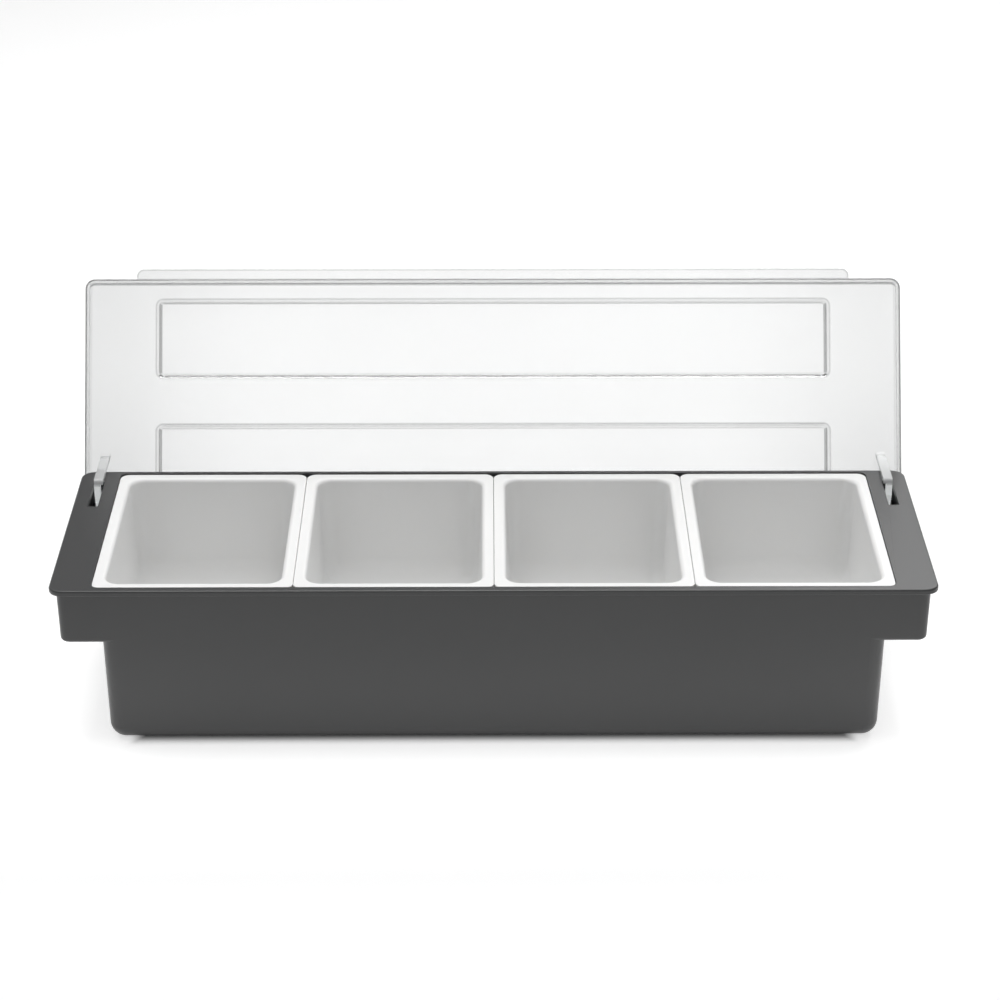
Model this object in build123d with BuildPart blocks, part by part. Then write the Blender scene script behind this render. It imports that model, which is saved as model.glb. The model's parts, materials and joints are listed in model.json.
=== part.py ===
from build123d import *
from math import cos, hypot, radians, tan
import os

# Bar garnish tray: a stepped tub, a deck frame closed over it, four lift-out pans
# and a clear lid on two gooseneck arms that turn on pins under the deck.
# Millimetres. X runs along the tray, Y towards its back, Z up from the base.
# The origin is the centre of the base. The lid is drawn open.

# Whole tray
rim_length = 495.0
rim_depth = 155.0
tray_height = 100.3
draft_angle = 1.0

# Tub
wall = 2.0
wall_setback_end = 3.4
wall_setback_side = 5.4
upper_corner_radius = 5.5
wing_drop = 35.8
wing_edge_radius = 2.2
wing_floor = 2.4
well_setback = 26.9
well_corner_radius = 9.0
well_edge_radius = 9.0
well_floor = 2.6
inside_edge_radius = 2.2
tongue_width = 1.0
tongue_height = 1.0

# Deck frame
deck_thickness = 3.2
frame_depth = 5.2
rim_corner_radius = 8.0
rim_edge_radius = 1.1
rim_lower_radius = 0.5
deck_strip_front = 5.0
deck_strip_rear = 3.2
deck_strip_end = 23.2
opening_corner_radius = 4.5
ledge_drop = 2.3
ledge_width = 4.6
ring_width = 3.0
groove_clearance = 0.1

# Slots and hinge, measured in from the rim's end and rear edges
slot_inset = 8.6
slot_width = 6.2
slot_rear = 14.6
slot_front = 48.0
slot_corner_radius = 0.8
hinge_setback = 12.9
hinge_drop = 14.35
pin_diameter = 3.0
pin_head_diameter = 5.2
pin_head_thickness = 0.8
pin_clearance = 0.08
lug_thickness = 4.0
lug_radius = 4.2

# Pans
pan_count = 4
pan_gap = 0.2
pan_flange = 1.6
pan_rim_width = 6.8
pan_wall = 1.6
pan_depth = 72.0
pan_draft_angle = 2.5
pan_flange_corner_radius = 5.5
pan_corner_radius = 8.5
pan_bottom_radius = 19.0
pan_lip_radius = 2.4
pan_flange_edge_radius = 0.5

# Lid
lid_overhang = 0.5
lid_setback = 1.1
lid_front_setback = 5.9
lid_height = 6.1
lid_plate = 1.5
lid_skirt = 2.2
lid_corner_radius = 5.8
lid_edge_radius = 1.2
lid_inner_radius = 1.2
lid_gap = 0.3
lid_relief = 0.3
lid_open_angle = 118.3
lip_end_setback = 31.2
lip_reach = 6.2
lip_thickness = 1.8
lip_corner_radius = 4.6
lip_edge_radius = 0.6
panel_end_margin = 43.0
panel_margin = 11.4
panel_spacing = 27.6
panel_corner_radius = 4.0
panel_band = 2.2
panel_rise = 2.0
panel_edge_radius = 1.0
panel_inset = 2.0
panel_inner_band = 1.0

# Gooseneck arms, in the open pose
arm_gap = 0.4
strap_width = 5.4
strap_thickness = 3.0
strap_nose_radius = 2.4
neck_width = 3.4
neck_thickness = 4.4
neck_length = 6.4
leg_overlap = 1.2
neck_clearance = 0.8
eye_radius = 4.2
side_clearance = 0.4

# Levels
deck_top = tray_height
wall_top = deck_top - frame_depth
ledge_top = deck_top - ledge_drop
wing_under = deck_top - wing_drop
rim_rear = rim_depth / 2
rim_end = rim_length / 2

# Plan sizes that follow
upper_length = rim_length - 2 * wall_setback_end
upper_depth = rim_depth - 2 * wall_setback_side
opening_length = rim_length - 2 * deck_strip_end
opening_depth = rim_depth - deck_strip_front - deck_strip_rear
opening_y = (deck_strip_front - deck_strip_rear) / 2
pan_length = (opening_length - (pan_count + 1) * pan_gap) / pan_count
pan_width = opening_depth - 2 * pan_gap
pan_pitch = pan_length + pan_gap
lid_width = rim_length + 2 * lid_overhang
lid_depth = rim_depth - lid_setback - lid_front_setback
lip_width = lid_width - 2 * lip_end_setback
panel_width = lid_width - 2 * panel_end_margin
panel_depth = (lid_depth - panel_spacing) / 2 - panel_margin
cavity_width = panel_width - 2 * panel_inset
cavity_depth = panel_depth - 2 * panel_inset
cavity_corner_radius = panel_corner_radius - panel_inset
hinge_y = rim_rear - hinge_setback
hinge_z = deck_top - hinge_drop


def drafted_block(centre, length, width, corner, top, bottom, angle, edge_radius):
    """A block that narrows downwards at the given draft, with its bottom edge rounded."""
    x, y = centre
    lean = (top - bottom) * tan(radians(angle))
    with BuildPart() as block:
        with BuildSketch(Plane((x, y, top))):
            RectangleRounded(length, width, corner)
        with BuildSketch(Plane((x, y, bottom))):
            RectangleRounded(length - 2 * lean, width - 2 * lean, corner)
        loft()
        fillet(block.edges().group_by(Axis.Z)[0], edge_radius)
    return block.part


def pan_block(centre, length, width, corner, top, depth, floor_radius):
    """A pan's body, whose floor is rounded more widely than its upright corners."""
    x, y = centre
    lean = depth * tan(radians(pan_draft_angle))
    with BuildPart() as block:
        with BuildSketch(Plane((x, y, top))):
            Rectangle(length, width)
        with BuildSketch(Plane((x, y, top - depth))):
            Rectangle(length - 2 * lean, width - 2 * lean)
        loft()
        fillet(block.edges().group_by(Axis.Z)[0], floor_radius)
        fillet(block.edges().filter_by(Plane.XY, reverse=True), corner)
    return block.part


# The well's ends are set at the wing's underside, so its block is wider at the wall's top
well_lean = (wall_top - wing_under) * tan(radians(draft_angle))
well_length = rim_length - 2 * well_setback + 2 * well_lean

upper_outside = drafted_block(
    (0, 0),
    upper_length,
    upper_depth,
    upper_corner_radius,
    wall_top,
    wing_under,
    draft_angle,
    wing_edge_radius,
)
well_outside = drafted_block(
    (0, 0), well_length, upper_depth, well_corner_radius, wall_top, 0, draft_angle, well_edge_radius
)
upper_inside = drafted_block(
    (0, 0),
    upper_length - 2 * wall,
    upper_depth - 2 * wall,
    upper_corner_radius - wall,
    wall_top,
    wing_under + wing_floor,
    draft_angle,
    inside_edge_radius,
)
well_inside = drafted_block(
    (0, 0),
    well_length - 2 * wall,
    upper_depth - 2 * wall,
    well_corner_radius - wall,
    wall_top,
    well_floor,
    draft_angle,
    well_edge_radius - wall,
)

with BuildPart() as tub:
    add(upper_outside)
    add(well_outside)
    add(upper_inside, mode=Mode.SUBTRACT)
    add(well_inside, mode=Mode.SUBTRACT)
    # Tongue on the wall's top, which sits in the frame's groove
    tongue_setback = (wall - tongue_width) / 2
    with BuildSketch(Plane.XY.offset(wall_top)):
        RectangleRounded(
            upper_length - 2 * tongue_setback,
            upper_depth - 2 * tongue_setback,
            upper_corner_radius - tongue_setback,
        )
        RectangleRounded(
            upper_length - 2 * tongue_setback - 2 * tongue_width,
            upper_depth - 2 * tongue_setback - 2 * tongue_width,
            upper_corner_radius - tongue_setback - tongue_width,
            mode=Mode.SUBTRACT,
        )
    extrude(amount=tongue_height)

with BuildPart() as top_frame:
    # Rim plate, with softened edges
    with BuildSketch(Plane.XY.offset(deck_top)):
        RectangleRounded(rim_length, rim_depth, rim_corner_radius)
    extrude(amount=-deck_thickness)
    fillet(top_frame.edges().group_by(Axis.Z)[-1], rim_edge_radius)
    fillet(top_frame.edges().group_by(Axis.Z)[0], rim_lower_radius)
    # Ring over the tub's wall
    with BuildSketch(Plane.XY.offset(deck_top - deck_thickness)):
        RectangleRounded(upper_length, upper_depth, upper_corner_radius)
        RectangleRounded(
            upper_length - 2 * ring_width,
            upper_depth - 2 * ring_width,
            upper_corner_radius - ring_width,
            mode=Mode.SUBTRACT,
        )
    extrude(amount=-(frame_depth - deck_thickness))
    # Ring round the opening, which carries the ledge
    with BuildSketch(Plane.XY.offset(deck_top - deck_thickness)):
        RectangleRounded(
            opening_length + 2 * ring_width, upper_depth, opening_corner_radius
        )
    extrude(amount=-(frame_depth - deck_thickness))
    # Recess for the pans' flanges, and the opening inside the ledge
    with BuildSketch(Plane.XY.offset(deck_top)):
        with Locations((0, opening_y)):
            RectangleRounded(opening_length, opening_depth, opening_corner_radius)
    extrude(amount=-ledge_drop, mode=Mode.SUBTRACT)
    with BuildSketch(Plane.XY.offset(deck_top)):
        with Locations((0, opening_y)):
            RectangleRounded(
                opening_length - 2 * ledge_width,
                opening_depth - 2 * ledge_width,
                opening_corner_radius,
            )
    extrude(amount=-frame_depth, mode=Mode.SUBTRACT)
    # Groove over the tub's tongue
    groove_setback = tongue_setback - groove_clearance
    groove_width = tongue_width + 2 * groove_clearance
    with BuildSketch(Plane.XY.offset(wall_top)):
        RectangleRounded(
            upper_length - 2 * groove_setback,
            upper_depth - 2 * groove_setback,
            upper_corner_radius - groove_setback,
        )
        RectangleRounded(
            upper_length - 2 * groove_setback - 2 * groove_width,
            upper_depth - 2 * groove_setback - 2 * groove_width,
            upper_corner_radius - groove_setback - groove_width,
            mode=Mode.SUBTRACT,
        )
    extrude(amount=tongue_height + groove_clearance, mode=Mode.SUBTRACT)
    # Slots for the lid's arms
    slot_x = rim_end - slot_inset - slot_width / 2
    slot_y = rim_rear - (slot_rear + slot_front) / 2
    with BuildSketch(Plane.XY.offset(deck_top)):
        with Locations((slot_x, slot_y), (-slot_x, slot_y)):
            RectangleRounded(slot_width, slot_front - slot_rear, slot_corner_radius)
    extrude(amount=-deck_thickness, mode=Mode.SUBTRACT)
    # Lugs under the deck, beside each slot, bored for the hinge pins
    arm_outer = rim_end - slot_inset - side_clearance
    lug_outer = arm_outer - neck_width - side_clearance
    lug_height = hinge_drop - deck_thickness
    for side in (-1, 1):
        with BuildSketch(Plane.YZ.offset(side * (lug_outer - lug_thickness / 2))):
            with Locations((hinge_y, hinge_z)):
                Circle(lug_radius)
            with Locations((hinge_y, hinge_z + lug_height / 2)):
                Rectangle(2 * lug_radius, lug_height)
            with Locations((hinge_y, hinge_z)):
                Circle(pin_diameter / 2, mode=Mode.SUBTRACT)
        extrude(amount=lug_thickness / 2, both=True)


# Where the lid lies when closed, and where its hinge turns that to when open
hinge_point = Vector(0, hinge_y, hinge_z)
closed_edge = Vector(0, rim_rear - lid_setback, deck_top + lid_gap)
open_edge = hinge_point + (closed_edge - hinge_point).rotate(Axis.X, -lid_open_angle)
lid_up = Vector(0, 0, 1).rotate(Axis.X, -lid_open_angle)
lid_plane = Plane(origin=open_edge, x_dir=(1, 0, 0), z_dir=lid_up)
lid_normal = Axis(open_edge, lid_up)
lid_inner = lid_height - lid_plate

# The rim's rear edge is this far from the hinge, and the lid's skirt is cut back to pass it
rim_edge_reach = rim_edge_radius + hypot(
    hinge_setback - rim_edge_radius, hinge_drop - rim_edge_radius
)

# The open lid's lean from upright, and where the plate's inner face meets the deck's level
lid_lean = radians(lid_open_angle - 90)
plate_point = open_edge + lid_up * lid_inner
plate_y = plate_point.Y + (deck_top - plate_point.Z) * tan(lid_lean)

# The arm's outline: a flat strap over the deck, a neck down through the slot, and the eye
strap_low = deck_top + arm_gap
strap_top = strap_low + strap_thickness
neck_back = rim_rear - slot_rear - neck_clearance
nose_y = neck_back - neck_thickness
root_front = plate_y + (strap_top - deck_top) * tan(lid_lean)
root_back = plate_y + arm_gap * tan(lid_lean) + lid_plate / cos(lid_lean)
root_y = (root_front + root_back) / 2
neck_low = strap_low - neck_length

with BuildPart() as lid:
    # Plate and skirt
    with BuildSketch(lid_plane):
        with Locations((0, -lid_depth / 2)):
            RectangleRounded(lid_width, lid_depth, lid_corner_radius)
    extrude(amount=lid_height)
    fillet(lid.edges().group_by(lid_normal)[-1], lid_edge_radius)
    with BuildSketch(lid_plane):
        with Locations((0, -lid_depth / 2)):
            RectangleRounded(
                lid_width - 2 * lid_skirt, lid_depth - 2 * lid_skirt, lid_corner_radius - lid_skirt
            )
    extrude(amount=lid_inner, mode=Mode.SUBTRACT)
    fillet(lid.edges(Select.LAST).group_by(lid_normal)[-1], lid_inner_radius)
    # The skirt's rear is cut back round the hinge, so that it clears the rim as the lid turns
    with BuildSketch(Plane.YZ):
        with Locations((hinge_y, hinge_z)):
            Circle(rim_edge_reach + lid_relief)
    extrude(amount=lid_width, both=True, mode=Mode.SUBTRACT)
    # Finger lip along the front of the skirt
    with BuildSketch(lid_plane) as lip:
        with Locations((0, -lid_depth - (lip_reach - lid_skirt) / 2)):
            Rectangle(lip_width, lip_reach + lid_skirt)
        fillet(lip.vertices().group_by(Axis.Y)[0], lip_corner_radius)
    extrude(amount=lip_thickness)
    fillet(lid.edges(Select.LAST).group_by(Axis.Z)[-1], lip_edge_radius)
    # Two raised panels, hollow below, each with a sloped border
    panel_place = panel_margin + panel_depth / 2
    for place in (-panel_place, panel_place - lid_depth):
        with BuildSketch(lid_plane.offset(lid_height)):
            with Locations((0, place)):
                RectangleRounded(panel_width, panel_depth, panel_corner_radius)
        with BuildSketch(lid_plane.offset(lid_height + panel_rise)):
            with Locations((0, place)):
                RectangleRounded(
                    panel_width - 2 * panel_band, panel_depth - 2 * panel_band, panel_corner_radius - panel_band
                )
        loft()
        border = lid.edges(Select.LAST).group_by(lid_normal)
        fillet(border[0] + border[-1], panel_edge_radius)
        with BuildSketch(lid_plane.offset(lid_inner)):
            with Locations((0, place)):
                RectangleRounded(cavity_width, cavity_depth, cavity_corner_radius)
        with BuildSketch(lid_plane.offset(lid_inner + panel_rise)):
            with Locations((0, place)):
                RectangleRounded(
                    cavity_width - 2 * panel_inner_band,
                    cavity_depth - 2 * panel_inner_band,
                    cavity_corner_radius - panel_inner_band,
                )
        loft(mode=Mode.SUBTRACT)
    # Gooseneck arms
    for side in (-1, 1):
        strap_x = side * (arm_outer - strap_width / 2)
        with BuildSketch(Plane.YZ.offset(strap_x)) as strap:
            with Locations(((nose_y + root_y) / 2, (strap_low + strap_top) / 2)):
                Rectangle(root_y - nose_y, strap_thickness)
            fillet(strap.vertices().group_by(Axis.X)[0].sort_by(Axis.Y)[-1], strap_nose_radius)
        extrude(amount=strap_width / 2, both=True)
        neck_x = side * (arm_outer - neck_width / 2)
        neck_y = (nose_y + neck_back) / 2
        with BuildSketch(Plane.YZ.offset(neck_x)):
            with Locations((neck_y, (neck_low + strap_low) / 2)):
                Rectangle(neck_thickness, neck_length)
        extrude(amount=neck_width / 2, both=True)
        with BuildSketch(Plane.YZ.offset(neck_x)):
            with Locations((neck_y, neck_low)):
                Rectangle(neck_thickness, 2 * leg_overlap)
            with Locations((hinge_y, hinge_z)):
                Circle(eye_radius)
            make_hull()
        extrude(amount=neck_width / 2, both=True)
        with BuildSketch(Plane.YZ.offset(neck_x)):
            with Locations((hinge_y, hinge_z)):
                Circle(pin_diameter / 2 + pin_clearance)
        extrude(amount=neck_width, both=True, mode=Mode.SUBTRACT)


# Pins pressed into the lugs, each with its head outside the lid's arm
pin_outer = arm_outer + side_clearance
pin_reach = pin_outer - lug_outer + lug_thickness
pins = []
for side in (-1, 1):
    with BuildPart() as hinge_pin:
        with BuildSketch(Plane.YZ.offset(side * pin_outer)):
            with Locations((hinge_y, hinge_z)):
                Circle(pin_head_diameter / 2)
        extrude(amount=side * pin_head_thickness)
        with BuildSketch(Plane.YZ.offset(side * pin_outer)):
            with Locations((hinge_y, hinge_z)):
                Circle(pin_diameter / 2)
        extrude(amount=-side * pin_reach)
    pins.append(hinge_pin.part)

# Four lift-out pans, side by side on the frame's ledge
pan_seat = ledge_top + pan_flange
pan_body_length = pan_length - 2 * (pan_rim_width - pan_wall)
pan_body_width = pan_width - 2 * (pan_rim_width - pan_wall)
pans = []
for number in range(pan_count):
    pan_x = (number - (pan_count - 1) / 2) * pan_pitch
    pan_outside = pan_block(
        (pan_x, opening_y),
        pan_body_length,
        pan_body_width,
        pan_corner_radius + pan_wall,
        pan_seat,
        pan_depth,
        pan_bottom_radius + pan_wall,
    )
    pan_inside = pan_block(
        (pan_x, opening_y),
        pan_body_length - 2 * pan_wall,
        pan_body_width - 2 * pan_wall,
        pan_corner_radius,
        pan_seat,
        pan_depth - pan_wall,
        pan_bottom_radius,
    )
    with BuildPart() as pan:
        with BuildSketch(Plane((pan_x, opening_y, pan_seat))):
            RectangleRounded(pan_length, pan_width, pan_flange_corner_radius)
        extrude(amount=-pan_flange)
        fillet(pan.edges().group_by(Axis.Z)[-1], pan_flange_edge_radius)
        add(pan_outside)
        add(pan_inside, mode=Mode.SUBTRACT)
        mouth = pan.edges(Select.LAST).group_by(Axis.Z)[-1]
        fillet(mouth, pan_lip_radius)
    pans.append(pan.part)

os.makedirs("parts", exist_ok=True)
tub.part.label = "tub"
export_step(tub.part, "parts/tub.step")
top_frame.part.label = "top_frame"
export_step(top_frame.part, "parts/top_frame.step")
lid.part.label = "lid"
export_step(lid.part, "parts/lid.step")
for side_name, pin_part in zip(("left", "right"), pins):
    pin_part.label = f"hinge_pin_{side_name}"
    export_step(pin_part, f"parts/hinge_pin_{side_name}.step")
for number, pan_part in enumerate(pans, start=1):
    pan_part.label = f"pan_{number}"
    export_step(pan_part, f"parts/pan_{number}.step")
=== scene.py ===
import json
import math

import bpy
from mathutils import Euler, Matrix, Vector

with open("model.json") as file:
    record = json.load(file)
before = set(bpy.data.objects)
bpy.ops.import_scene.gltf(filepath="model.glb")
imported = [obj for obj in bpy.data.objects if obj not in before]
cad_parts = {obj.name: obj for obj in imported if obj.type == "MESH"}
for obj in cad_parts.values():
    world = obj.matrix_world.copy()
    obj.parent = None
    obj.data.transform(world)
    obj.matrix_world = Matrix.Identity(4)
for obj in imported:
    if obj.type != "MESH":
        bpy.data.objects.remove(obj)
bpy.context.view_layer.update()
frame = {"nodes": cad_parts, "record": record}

# Bar garnish tray: the CAD pieces carry all the shapes, and this file gives them
# their finishes, the studio and the photograph's camera. Metres.
nodes = frame["nodes"]

black = (0, 0, 0)
white = (1, 1, 1)
noiseMiddle = 0.5  # the average of a noise texture


class Wire:
    # a shader socket that can stand in a sum
    def __init__(self, finish, socket):
        self.finish = finish
        self.socket = socket

    def __add__(self, other):
        return self.finish.math("ADD", self, other)

    def __radd__(self, other):
        return self.finish.math("ADD", other, self)

    def __sub__(self, other):
        return self.finish.math("SUBTRACT", self, other)

    def __rsub__(self, other):
        return self.finish.math("SUBTRACT", other, self)

    def __mul__(self, other):
        return self.finish.math("MULTIPLY", self, other)

    def __rmul__(self, other):
        return self.finish.math("MULTIPLY", other, self)


class Finish:
    # one material with its Principled shader
    def __init__(self, name):
        self.material = bpy.data.materials.new(name)
        self.material.use_nodes = True
        self.tree = self.material.node_tree
        self.shader = next(n for n in self.tree.nodes if n.type == "BSDF_PRINCIPLED")
        self.surface = next(n for n in self.tree.nodes if n.type == "OUTPUT_MATERIAL")

    def plug(self, holder, key, value):
        if isinstance(value, Wire):
            self.tree.links.new(value.socket, holder.inputs[key])
        else:
            holder.inputs[key].default_value = value

    def node(self, kind, settings=None, sockets=None, output=0):
        made = self.tree.nodes.new(kind)
        for key, value in (settings or {}).items():
            setattr(made, key, value)
        for key, value in (sockets or {}).items():
            self.plug(made, key, value)
        return Wire(self, made.outputs[output])

    def set(self, **values):
        for key, value in values.items():
            self.plug(self.shader, key.replace("_", " "), value)

    # lay a second shader over the Principled one where the mask is 1
    def cover(self, mask, second):
        sockets = {"Fac": mask, 1: Wire(self, self.shader.outputs[0]), 2: second}
        self.plug(self.surface, "Surface", self.node("ShaderNodeMixShader", sockets=sockets))

    def place(self):
        return self.node("ShaderNodeTexCoord", output="Object")

    def along(self, axis):
        return self.node("ShaderNodeSeparateXYZ", sockets={0: self.place()}, output=axis)

    def fromMiddle(self, axis):
        return self.math("ABSOLUTE", self.along(axis))

    def noise(self, scale, detail, roughness=0.5):
        sockets = {"Vector": self.place(), "Scale": scale}
        sockets.update({"Detail": detail, "Roughness": roughness})
        return self.node("ShaderNodeTexNoise", sockets=sockets, output="Fac")

    # the middle value, moved up and down by the noise
    def vary(self, middle, spread, noise):
        return middle + spread * (noise - noiseMiddle)

    def math(self, operation, first, second=0):
        return self.node("ShaderNodeMath", {"operation": operation}, {0: first, 1: second})

    # 0 before the first place and 1 past the second, with soft ends
    def ramp(self, value, first, second):
        settings = {"interpolation_type": "SMOOTHSTEP"}
        sockets = {"Value": value, "From Min": first, "From Max": second}
        return self.node("ShaderNodeMapRange", settings, sockets)

    # a Mix node's colours are its inputs 6 and 7 and its output 2
    def blend(self, mask, low, high):
        colours = [value if isinstance(value, Wire) else (*value, 1) for value in (low, high)]
        sockets = {"Factor": mask, 6: colours[0], 7: colours[1]}
        return self.node("ShaderNodeMix", {"data_type": "RGBA"}, sockets, 2)

    def bump(self, height, strength, distance):
        sockets = {"Strength": strength, "Distance": distance, "Height": height}
        self.plug(self.shader, "Normal", self.node("ShaderNodeBump", sockets=sockets))


# Dark satin ABS of the tub and the deck, with a fine mould grain
housing = {
    "low": (0.027, 0.0275, 0.028),
    "high": (0.031, 0.0315, 0.032),
    "flowScale": 9.0,
    "flowDetail": 3.0,
    "grainScale": 2600.0,
    "grainDetail": 2.0,
    "grainRoughness": 0.6,
    "grainStrength": 0.35,
    "grainDepth": 0.00002,
    "roughness": 0.34,
    "roughnessSpread": 0.06,
    "density": 1.57,
}


def housingFinish():
    made = Finish("housingPlastic")
    flow = made.noise(housing["flowScale"], housing["flowDetail"])
    grain = made.noise(housing["grainScale"], housing["grainDetail"], housing["grainRoughness"])
    made.set(
        Base_Color=made.blend(flow, housing["low"], housing["high"]),
        Roughness=made.vary(housing["roughness"], housing["roughnessSpread"], grain),
        IOR=housing["density"],
    )
    made.bump(grain, housing["grainStrength"], housing["grainDepth"])
    return made.material


# White polypropylene of the pans, a little translucent
pan = {
    "low": (0.76, 0.76, 0.755),
    "high": (0.80, 0.80, 0.795),
    "flowScale": 14.0,
    "flowDetail": 3.0,
    "grainScale": 1800.0,
    "grainDetail": 2.0,
    "grainRoughness": 0.6,
    "grainStrength": 0.25,
    "grainDepth": 0.00001,
    "roughness": 0.30,
    "roughnessSpread": 0.05,
    "density": 1.5,
    "glow": 0.08,
    "glowDepth": 0.002,
    "glowRadius": (1.0, 0.9, 0.8),
}


def panFinish():
    made = Finish("panPlastic")
    flow = made.noise(pan["flowScale"], pan["flowDetail"])
    grain = made.noise(pan["grainScale"], pan["grainDetail"], pan["grainRoughness"])
    made.set(
        Base_Color=made.blend(flow, pan["low"], pan["high"]),
        Roughness=made.vary(pan["roughness"], pan["roughnessSpread"], grain),
        IOR=pan["density"],
        Subsurface_Weight=pan["glow"],
        Subsurface_Scale=pan["glowDepth"],
        Subsurface_Radius=pan["glowRadius"],
    )
    made.bump(grain, pan["grainStrength"], pan["grainDepth"])
    return made.material


# Clear SAN of the lid, with the slow ripple of a large moulding, and painted shade that darkens it
# towards its ends, more so near its foot, standing in for the dark deck seen in it and the light
# falling off at its ends
lid = {
    "low": (0.88, 0.885, 0.885),
    "high": (0.91, 0.915, 0.915),
    "flowScale": 18.0,
    "flowDetail": 2.0,
    "rippleScale": 30.0,
    "rippleDetail": 1.0,
    "rippleStrength": 0.2,
    "rippleDepth": 0.00012,
    "roughness": 0.06,
    "roughnessSpread": 0.03,
    "density": 1.49,
    "clearness": 0.94,
    "endPaintedShade": (0.73, 0.735, 0.735),
    "paintedShadeStart": 0.13,
    "paintedShadeEnd": 0.25,
    "paintedShadeTop": 0.03,
    "paintedShadeLow": -0.06,
    "paintedShadeShare": 0.58,
}

# The open lid's plane, in which the borders, the lip and the skirt are measured:
# the way up it is a sum of a point's Y and Z, counted from the lid's middle
openLid = {
    "run": 0.47409,
    "rise": 0.88048,
    "middle": 0.1685,
}

# The sloped borders of the two raised panels, drawn as painted dark lines of shade along their
# bends
border = {
    "paintedShade": (0.08, 0.083, 0.083),
    "panelMiddle": 0.0382,
    "halfDepth": 0.0244,
    "halfWidth": 0.2056,
    "corner": 0.0045,
    "outerPlace": -0.0002,
    "outerWidth": 0.0009,
    "outerShade": 0.34,
    "innerPlace": -0.0026,
    "innerWidth": 0.0013,
    "innerShade": 0.16,
    "endShade": 0.62,
    "endBlend": 0.0006,
}

# The finger lip's outline, drawn as a painted dark line beyond its foot on the skirt
lip = {
    "halfWidth": 0.2163,
    "top": 0.0797,
    "foot": 0.0742,
    "corner": 0.0040,
    "line": 0.0009,
    "shade": 0.30,
}

# The skirt: a fine painted dark line inside its ends, and its milky outer faces
skirt = {
    "linePlace": 0.2450,
    "lineWidth": 0.0009,
    "lineShade": 0.13,
    "halfWidth": 0.2462,
    "top": 0.0703,
    "end": 0.0741,
    "blend": 0.0006,
    "milk": 0.22,
}

# The gooseneck arms, which are thick enough to look milky; their necks glow with painted light
# standing in for the light the clear plastic carries down. They lie in front of a plane that leans
# back by this share of the height
arm = {
    "lean": 0.538,
    "end": 0.0337,
    "blend": 0.0015,
    "milk": 0.38,
    "neckMilk": 0.34,
    "neckTop": 0.1003,
    "neckLow": 0.0990,
    "color": (0.80, 0.81, 0.81, 1),
    "roughness": 0.25,
    "glow": (0.9, 0.92, 0.92),
    "paintedGlowStrength": 0.42,
}


# how far up the open lid, from its middle
def upTheLid(made):
    return openLid["run"] * made.along("Y") + openLid["rise"] * made.along("Z") - openLid["middle"]


# distance outwards from a rectangle with rounded corners
def fromOutline(made, across, along, corner):
    sides = [made.math("MAXIMUM", way + corner, 0) for way in (across, along)]
    return made.math("SQRT", sides[0] * sides[0] + sides[1] * sides[1]) - corner


def lineAt(made, distance, place, width):
    return made.ramp(made.math("ABSOLUTE", distance - place), width, 0)


# painted shade: dark lines in the lid's colour where the bends of the borders, the skirt and the
# lip would turn the view aside
def paintedBendLines(made):
    middle = made.fromMiddle("X")
    up = upTheLid(made)
    across = middle - border["halfWidth"]
    fromPanel = made.math("ABSOLUTE", up) - border["panelMiddle"]
    along = made.math("ABSOLUTE", fromPanel) - border["halfDepth"]
    edge = fromOutline(made, across, along, border["corner"])
    ends = made.ramp(across - along, 0, border["endBlend"])
    innerShade = border["innerShade"] + border["endShade"] * ends
    outerLine = lineAt(made, edge, border["outerPlace"], border["outerWidth"])
    innerLine = lineAt(made, edge, border["innerPlace"], border["innerWidth"])
    sideLine = lineAt(made, middle, skirt["linePlace"], skirt["lineWidth"])
    beyondFoot = made.ramp(up, lip["foot"], lip["foot"] + lip["line"])
    lipEdge = fromOutline(made, middle - lip["halfWidth"], up - lip["top"], lip["corner"])
    lipLine = beyondFoot * lineAt(made, lipEdge, 0, lip["line"])
    return (
        border["outerShade"] * outerLine
        + innerShade * innerLine
        + skirt["lineShade"] * sideLine
        + lip["shade"] * lipLine
    )


# the skirt's outer faces, where light scatters in the corner of the moulding
def edgeSkin(made):
    side = made.fromMiddle("X") - skirt["halfWidth"]
    up = upTheLid(made)
    edge = made.math("MAXIMUM", side, up - skirt["top"])
    onSkirt = made.ramp(up, skirt["end"] + skirt["blend"], skirt["end"])
    return onSkirt * made.ramp(edge, 0, skirt["blend"])


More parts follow.
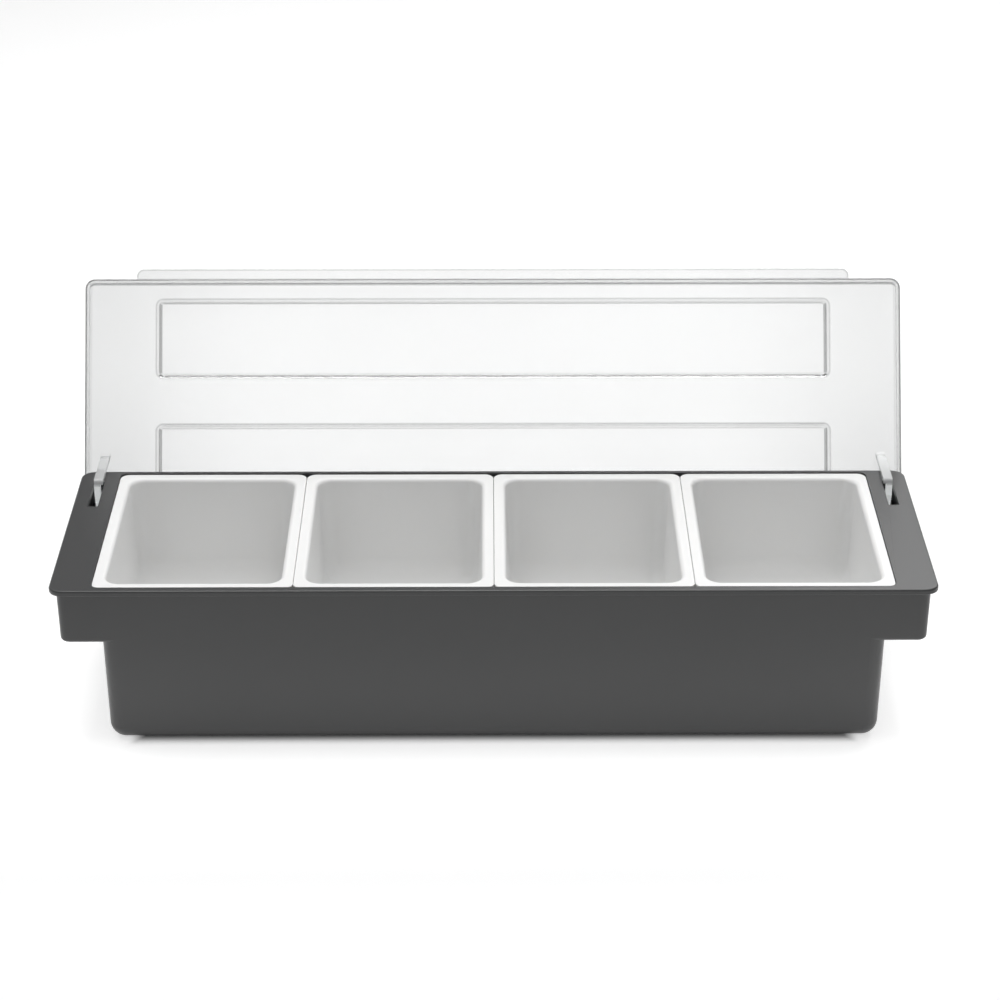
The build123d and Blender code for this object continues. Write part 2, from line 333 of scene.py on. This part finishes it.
def lidFinish():
    made = Finish("lidPlastic")
    flow = made.noise(lid["flowScale"], lid["flowDetail"])
    ripple = made.noise(lid["rippleScale"], lid["rippleDetail"])
    # painted shade: darker towards the lid's ends, and more so low down at the ends
    ends = made.ramp(made.fromMiddle("X"), lid["paintedShadeStart"], lid["paintedShadeEnd"])
    low = made.ramp(upTheLid(made), lid["paintedShadeTop"], lid["paintedShadeLow"])
    paintedShade = ends * (lid["paintedShadeShare"] + (1 - lid["paintedShadeShare"]) * low)
    clear = made.blend(flow, lid["low"], lid["high"])
    clearWithPaintedShade = made.blend(paintedShade, clear, lid["endPaintedShade"])
    made.set(
        # painted shade: the dark bend lines are mixed into the lid's colour
        Base_Color=made.blend(paintedBendLines(made), clearWithPaintedShade, border["paintedShade"]),
        Roughness=made.vary(lid["roughness"], lid["roughnessSpread"], flow),
        IOR=lid["density"],
        Transmission_Weight=lid["clearness"],
    )
    made.bump(ripple, lid["rippleStrength"], lid["rippleDepth"])
    depth = made.along("Y") - arm["lean"] * made.along("Z")
    arms = made.ramp(depth, arm["end"], arm["end"] - arm["blend"])
    neck = arms * made.ramp(made.along("Z"), arm["neckTop"], arm["neckLow"])
    milk = arm["milk"] * arms + arm["neckMilk"] * neck + skirt["milk"] * edgeSkin(made)
    sockets = {
        "Base Color": arm["color"],
        "Roughness": arm["roughness"],
        # painted light: the neck glows, standing in for light carried down the arm
        "Emission Color": made.blend(neck, black, arm["glow"]),
        "Emission Strength": arm["paintedGlowStrength"],
    }
    made.cover(milk, made.node("ShaderNodeBsdfPrincipled", sockets=sockets))
    return made.material


# Brushed steel of the hinge pins
pin = {
    "low": (0.50, 0.50, 0.51),
    "high": (0.62, 0.62, 0.63),
    "grainScale": 900.0,
    "grainDetail": 3.0,
    "roughness": 0.28,
    "roughnessSpread": 0.08,
    "metal": 1.0,
}


def pinFinish():
    made = Finish("pinSteel")
    grain = made.noise(pin["grainScale"], pin["grainDetail"])
    made.set(
        Base_Color=made.blend(grain, pin["low"], pin["high"]),
        Roughness=made.vary(pin["roughness"], pin["roughnessSpread"], grain),
        Metallic=pin["metal"],
    )
    return made.material


finishes = {
    "housing": housingFinish(),
    "pan": panFinish(),
    "lid": lidFinish(),
    "pin": pinFinish(),
}
for part in frame["record"]["subparts"]:
    for slot in nodes[part["node"]].material_slots:
        slot.material = finishes[part["material_slot"]]
print("CAD pieces dressed")


# Pale floor under a white sky. The floor glows with painted light close round the tray's foot,
# which lifts the tray's shadow there and, dying out just under the foot's edge, leaves a painted
# contact shadow; the glow fades away from the foot and towards the back
studio = {
    "floorSize": 12.0,
    "floorLow": (0.89, 0.89, 0.89),
    "floorHigh": (0.90, 0.90, 0.90),
    "floorFlow": 1.5,
    "floorDetail": 2.0,
    "floorRoughness": 0.7,
    "paintedGlowStrength": 0.56,
    "footHalfLength": 0.208,
    "footHalfDepth": 0.074,
    "footStart": -0.009,
    "footEnd": 0.002,
    "fadeStart": 0.03,
    "fadeEnd": 0.14,
    "backStart": -0.02,
    "backEnd": 0.20,
    "sky": 0.39,
}
softboxes = {
    "key": {"place": (0.9, 1.6, 1.7), "size": 1.5, "power": 19.5},
    "fill": {"place": (-1.2, 0.8, 1.9), "size": 1.5, "power": 10.0},
    "top": {"place": (0.0, 0.30, 2.2), "size": 1.3, "power": 28.0},
    "front": {"place": (0.2, -2.2, 1.0), "size": 1.4, "power": 2.5},
}
lightAim = Vector((0, 0, 0.06))


def addFloor():
    bpy.ops.object.select_all(action="DESELECT")
    bpy.ops.mesh.primitive_plane_add(size=studio["floorSize"])
    floor = bpy.context.object
    floor.name = "studioFloor"
    made = Finish("floorPaper")
    side = made.fromMiddle("X") - studio["footHalfLength"]
    ahead = made.fromMiddle("Y") - studio["footHalfDepth"]
    away = made.math("MAXIMUM", side, ahead)
    clear = made.ramp(away, studio["footStart"], studio["footEnd"])
    far = made.ramp(away, studio["fadeStart"], studio["fadeEnd"])
    behind = made.ramp(made.along("Y"), studio["backStart"], studio["backEnd"])
    # painted light round the foot, and a narrow painted contact shadow where it dies out under the
    # foot's edge
    glow = clear * (1 - far) * (1 - behind)
    flow = made.noise(studio["floorFlow"], studio["floorDetail"])
    made.set(
        Base_Color=made.blend(flow, studio["floorLow"], studio["floorHigh"]),
        Roughness=studio["floorRoughness"],
        Emission_Color=made.blend(glow, black, white),
        Emission_Strength=studio["paintedGlowStrength"],
    )
    floor.data.materials.append(made.material)


def addSoftbox(name, box):
    light = bpy.data.lights.new(name, "AREA")
    light.shape = "SQUARE"
    light.size = box["size"]
    light.energy = box["power"]
    lamp = bpy.data.objects.new(name, light)
    bpy.context.scene.collection.objects.link(lamp)
    lamp.location = box["place"]
    aim = lightAim - lamp.location
    lamp.rotation_euler = aim.to_track_quat("-Z", "Y").to_euler()


def addWorld():
    world = bpy.data.worlds.new("studioWorld")
    world.use_nodes = True
    sky = world.node_tree.nodes["Background"]
    sky.inputs["Color"].default_value = (*white, 1)
    sky.inputs["Strength"].default_value = studio["sky"]
    bpy.context.scene.world = world
    bpy.context.scene.view_settings.view_transform = "Standard"


addFloor()
for name, box in softboxes.items():
    addSoftbox(name + "Softbox", box)
addWorld()
print("studio set")


# The photograph's camera: place, and turns in degrees
camera = {
    "place": (-0.00215, -1.43726, 0.82097),
    "lens": 100.0,
    "sensor": 36.0,
    "pitch": 26.05,
    "turn": 0.49,
    "roll": 0.10,
    "shift": -0.0114,
}


def addCamera():
    data = bpy.data.cameras.new("photoCamera")
    data.sensor_width = camera["sensor"]
    data.sensor_fit = "HORIZONTAL"
    data.lens = camera["lens"]
    data.shift_x = camera["shift"]
    item = bpy.data.objects.new("photoCamera", data)
    bpy.context.scene.collection.objects.link(item)
    item.location = camera["place"]
    pitch = math.radians(90 - camera["pitch"])
    turn = -math.radians(camera["turn"])
    aim = Euler((pitch, 0, turn)).to_matrix()
    roll = Euler((0, 0, math.radians(camera["roll"]))).to_matrix()
    item.rotation_euler = (aim @ roll).to_euler()
    bpy.context.scene.camera = item


addCamera()
print("camera set")
